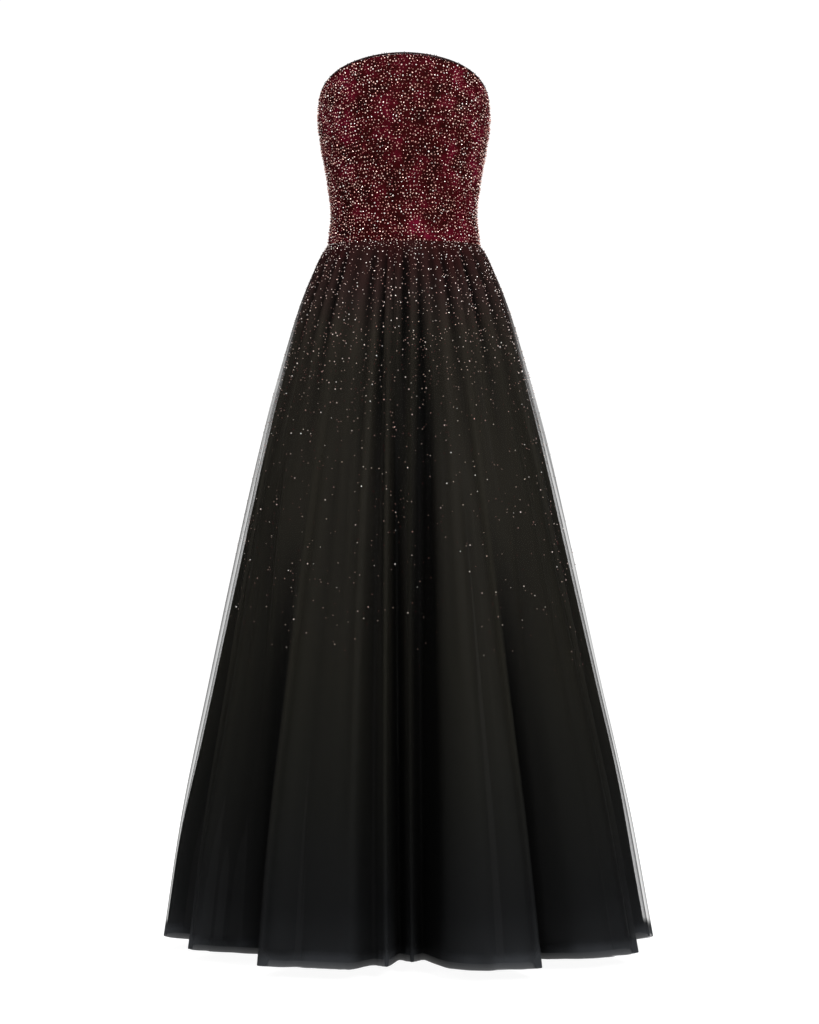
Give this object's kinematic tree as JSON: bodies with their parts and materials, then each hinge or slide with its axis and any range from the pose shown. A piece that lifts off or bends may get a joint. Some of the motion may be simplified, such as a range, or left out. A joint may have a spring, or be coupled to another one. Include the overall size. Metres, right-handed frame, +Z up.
{
  "type": "ball gown",
  "caption": "Strapless floor-length ball gown: fitted beaded bodice with an arched top edge, gathered sheer skirt over an opaque lining, zip at the centre back.",
  "frame": {"origin": "centre of the wearer's waist, level with the waist seam, where the fitted bodice is held", "axes": "+Z up along the body, -Y out of the front, +X to the wearer's left"},
  "size_m": [0.8026, 0.6659, 1.423],
  "materials": {
    "beaded_cloth": "dense glass beads on burgundy tulle over satin",
    "binding_satin": "dark satin, rolled",
    "tulle": "sheer black tulle with scattered beads",
    "lining_satin": "matt black satin",
    "zip_nylon": "woven nylon tape and coil",
    "zip_metal": "semi-gloss enamel"
  },
  "bodies": {
    "root": {"bodice_centre_front": "beaded_cloth", "bodice_side_front_left": "beaded_cloth", "bodice_side_front_right": "beaded_cloth", "bodice_back_left": "beaded_cloth", "bodice_back_right": "beaded_cloth", "top_binding": "binding_satin", "tulle_front": "tulle", "tulle_back_left": "tulle", "tulle_back_right": "tulle", "lining_front": "lining_satin", "lining_back_left": "lining_satin", "lining_back_right": "lining_satin", "zip_coil": "zip_nylon", "zip_slider": "zip_metal"},
    "pull": {"zip_pull": "zip_metal"}
  },
  "joints": [
    {"name": "pull_swing", "type": "hinge", "parent": "root", "child": "pull", "pos_m": [0, 0.1001, 0.2185], "axis": [1, 0, 0], "range_deg": [0, 170]}
  ]
}
